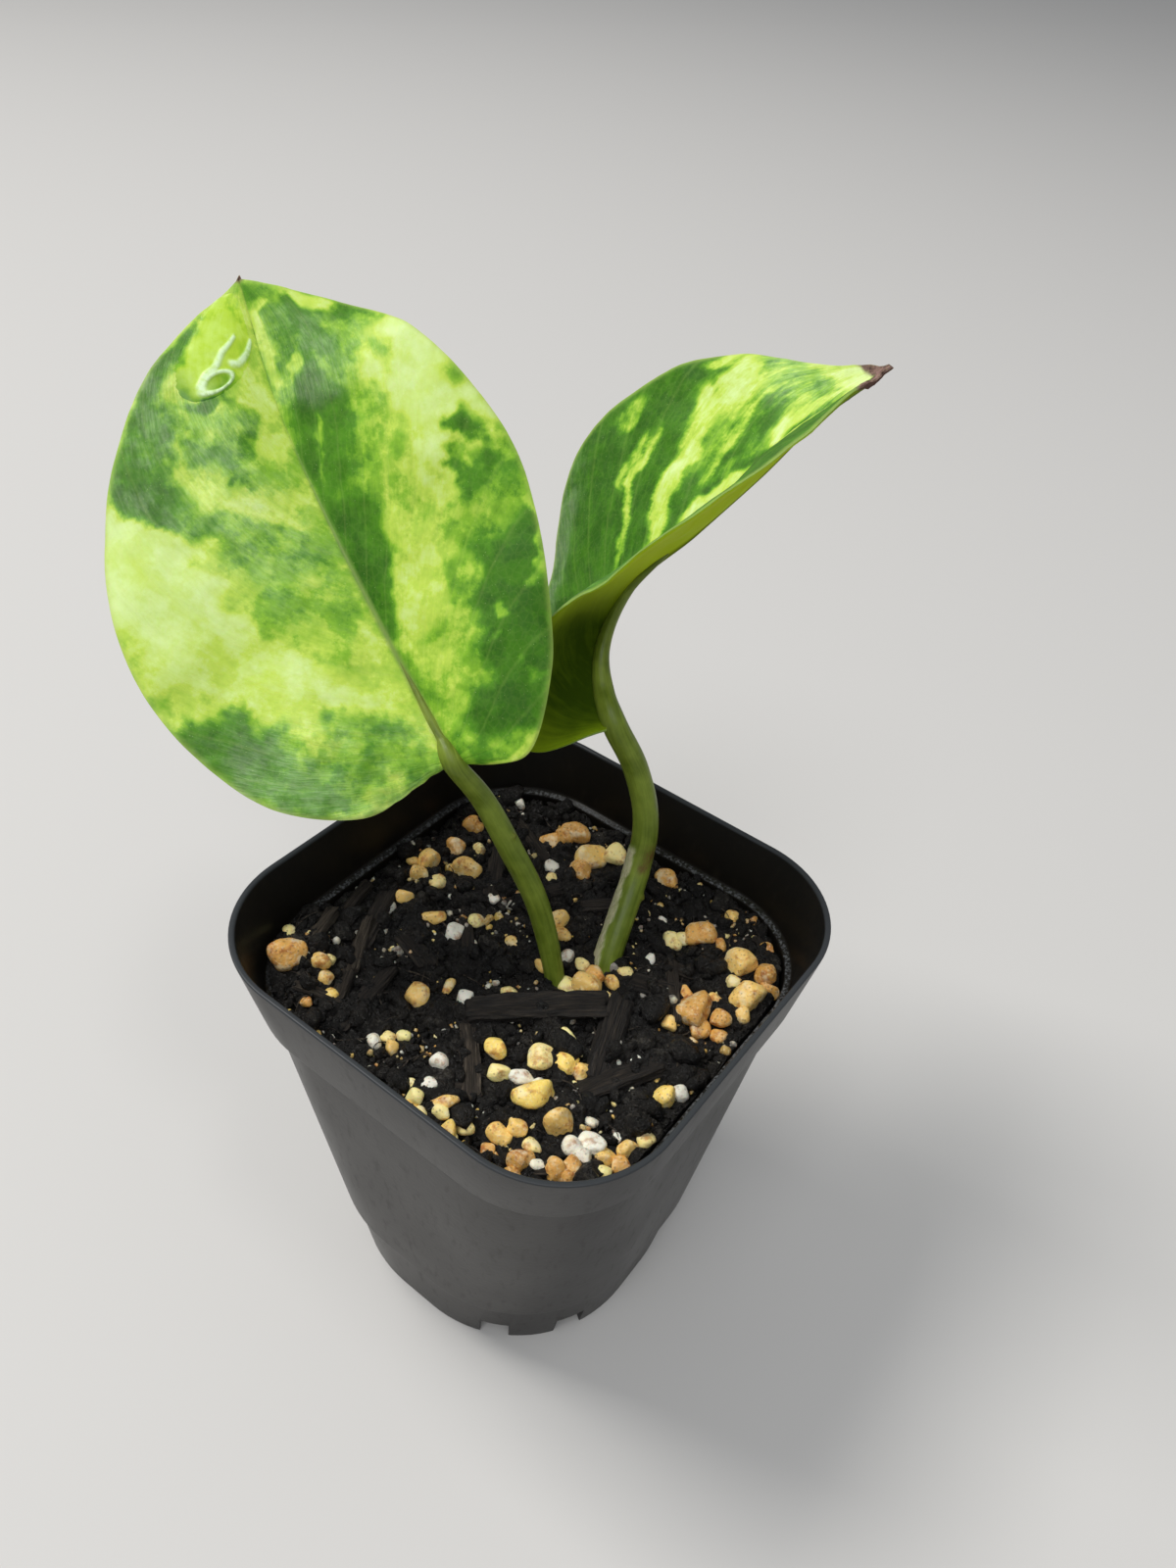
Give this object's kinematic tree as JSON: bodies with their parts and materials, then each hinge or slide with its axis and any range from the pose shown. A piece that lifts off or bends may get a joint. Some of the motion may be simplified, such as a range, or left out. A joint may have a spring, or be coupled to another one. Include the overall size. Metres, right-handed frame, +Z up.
{
  "type": "potted golden pothos",
  "caption": "Young golden pothos in a small square nursery pot of black plastic: heart-shaped variegated leaves on bent stalks over stony potting soil.",
  "frame": {"origin": "middle of the pot's underside, on the surface that it stands on", "axes": "+Z up; X and Y run along the pot's sides; the left leaf leans towards -X and the right leaf towards +Y"},
  "size_m": [0.0912, 0.0833, 0.1279],
  "materials": {
    "pot_plastic": "semi-gloss black moulded plastic, faintly scuffed",
    "potting_soil": "moist dark potting soil with bark and small tan and white stones",
    "root": "matt pale brown stem and roots",
    "leaf_stalk": "smooth olive green with a pale dry edge",
    "leaf_blade": "waxy satin leaf, dark and mid green marbled with yellow-green"
  },
  "bodies": {
    "root": {"pot": "pot_plastic", "soil": "potting_soil", "rooted_stem": "root", "leaf_stalk_left": "leaf_stalk", "leaf_stalk_right": "leaf_stalk", "leaf_blade_left": "leaf_blade", "leaf_blade_right": "leaf_blade"}
  },
  "joints": []
}
